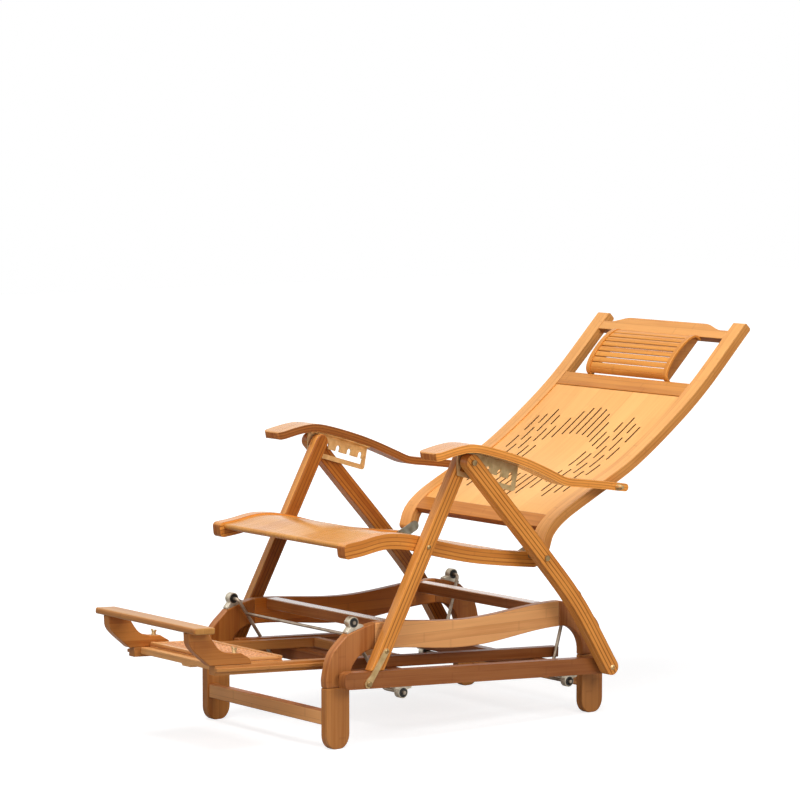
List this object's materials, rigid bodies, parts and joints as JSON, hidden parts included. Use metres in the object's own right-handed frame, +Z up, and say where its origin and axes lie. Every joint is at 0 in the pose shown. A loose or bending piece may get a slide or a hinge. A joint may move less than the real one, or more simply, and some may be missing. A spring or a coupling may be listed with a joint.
{
  "type": "rocker recliner",
  "caption": "Bamboo recliner hung on a gliding swing base, with notched armrests that set the back, a slatted head pillow and a pull-out massage footrest.",
  "frame": {"origin": "on the floor under the middle of the whole chair's box", "axes": "+Z up, the sitter faces -Y, +X is the sitter's left"},
  "size_m": [0.6474, 1.5292, 0.8716],
  "materials": {
    "honey_bamboo": "satin lacquered laminated bamboo",
    "pale_bamboo": "satin pale bamboo mat board",
    "brown_bamboo": "satin lacquered carbonised bamboo",
    "zinc_steel": "zinc plated"
  },
  "bodies": {
    "base": {"base_side_left": "brown_bamboo", "base_side_right": "brown_bamboo", "front_stretcher": "brown_bamboo", "rear_stretcher": "brown_bamboo", "base_cross_rail_front": "brown_bamboo", "base_cross_rail_rear": "brown_bamboo", "upper_bearing_front_left": "zinc_steel", "upper_bearing_front_right": "zinc_steel", "upper_bearing_rear_left": "zinc_steel", "upper_bearing_rear_right": "zinc_steel"},
    "front_swing": {"front_swing_frame": "zinc_steel"},
    "rear_swing": {"rear_swing_frame": "zinc_steel"},
    "carriage": {"carriage_rail_left": "brown_bamboo", "carriage_rail_right": "brown_bamboo", "footrest_track_left": "brown_bamboo", "footrest_track_right": "brown_bamboo", "carriage_cross_front": "brown_bamboo", "carriage_cross_rear": "brown_bamboo", "lower_bearing_front_left": "zinc_steel", "lower_bearing_front_right": "zinc_steel", "lower_bearing_rear_left": "zinc_steel", "lower_bearing_rear_right": "zinc_steel", "hinge_plate_left": "zinc_steel", "hinge_plate_right": "zinc_steel", "seat_bolt_left": "zinc_steel", "seat_bolt_right": "zinc_steel", "leg_pin_left": "zinc_steel", "leg_pin_right": "zinc_steel", "front_leg_left": "honey_bamboo", "front_leg_right": "honey_bamboo", "rear_leg_left": "honey_bamboo", "rear_leg_right": "honey_bamboo", "seat_rail_left": "honey_bamboo", "seat_rail_right": "honey_bamboo", "seat_panel": "pale_bamboo"},
    "back": {"back_rail_left": "honey_bamboo", "back_rail_right": "honey_bamboo", "crest_rail": "honey_bamboo", "mid_rail": "honey_bamboo", "lower_rail": "honey_bamboo", "head_pillow": "honey_bamboo", "back_panel": "pale_bamboo", "arm_bolt_left": "zinc_steel", "arm_bolt_right": "zinc_steel"},
    "footrest": {"footrest_rail_left": "brown_bamboo", "footrest_rail_right": "brown_bamboo", "footrest_front_rail": "brown_bamboo", "footrest_rear_rail": "brown_bamboo", "massage_panel": "pale_bamboo", "foot_bar": "honey_bamboo", "foot_bracket_left": "honey_bamboo", "foot_bracket_right": "honey_bamboo"},
    "arm_left": {"armrest_left": "honey_bamboo", "toothed_plate_left": "zinc_steel"},
    "hook_left": {"latch_hook_left": "zinc_steel"},
    "wing_nut_left": {"wing_nut_left": "zinc_steel"},
    "arm_right": {"armrest_right": "honey_bamboo", "toothed_plate_right": "zinc_steel"},
    "hook_right": {"latch_hook_right": "zinc_steel"},
    "wing_nut_right": {"wing_nut_right": "zinc_steel"}
  },
  "joints": [
    {"name": "swing", "type": "hinge", "parent": "base", "child": "front_swing", "pos_m": [0, -0.37661, 0.2711], "axis": [1, 0, 0], "range_deg": [-19, 0]},
    {"name": "rear_swing", "type": "hinge", "parent": "base", "child": "rear_swing", "pos_m": [0, 0.25932, 0.2711], "axis": [1, 0, 0], "range_deg": [-18.6, 0]},
    {"name": "carriage_tilt", "type": "hinge", "parent": "front_swing", "child": "carriage", "pos_m": [0, -0.26871, 0.11204], "axis": [1, 0, 0], "range_deg": [0, 25.5]},
    {"name": "recline", "type": "hinge", "parent": "carriage", "child": "back", "pos_m": [0, 0.14254, 0.39577], "axis": [1, 0, 0], "range_deg": [0, 40.5]},
    {"name": "footrest_slide", "type": "slide", "parent": "carriage", "child": "footrest", "axis": [0, 0.9985, -0.0539], "range_m": [0, 0.23]},
    {"name": "arm_hinge_left", "type": "hinge", "parent": "back", "child": "arm_left", "pos_m": [0.2637, 0.31664, 0.52337], "axis": [1, 0, 0], "range_deg": [-31.9, 0]},
    {"name": "hook_latch_left", "type": "hinge", "parent": "carriage", "child": "hook_left", "pos_m": [0.272, -0.31928, 0.20841], "axis": [1, 0, 0], "range_deg": [-60, 0]},
    {"name": "wing_nut_turn_left", "type": "hinge", "parent": "footrest", "child": "wing_nut_left", "pos_m": [0.1539, -0.63653, 0.22184], "axis": [0, 0.0539, 0.9985], "continuous": true},
    {"name": "arm_hinge_right", "type": "hinge", "parent": "back", "child": "arm_right", "pos_m": [-0.2637, 0.31664, 0.52337], "axis": [1, 0, 0], "range_deg": [-31.9, 0]},
    {"name": "hook_latch_right", "type": "hinge", "parent": "carriage", "child": "hook_right", "pos_m": [-0.272, -0.31928, 0.20841], "axis": [1, 0, 0], "range_deg": [-60, 0]},
    {"name": "wing_nut_turn_right", "type": "hinge", "parent": "footrest", "child": "wing_nut_right", "pos_m": [-0.1539, -0.63653, 0.22184], "axis": [0, 0.0539, 0.9985], "continuous": true}
  ],
  "couplings": [
    {"joint": "rear_swing", "follows": "swing", "ratio": 0.975},
    {"joint": "carriage_tilt", "follows": "swing", "ratio": -1.335},
    {"joint": "arm_hinge_left", "follows": "recline", "ratio": -0.78544},
    {"joint": "arm_hinge_right", "follows": "recline", "ratio": -0.78544}
  ]
}
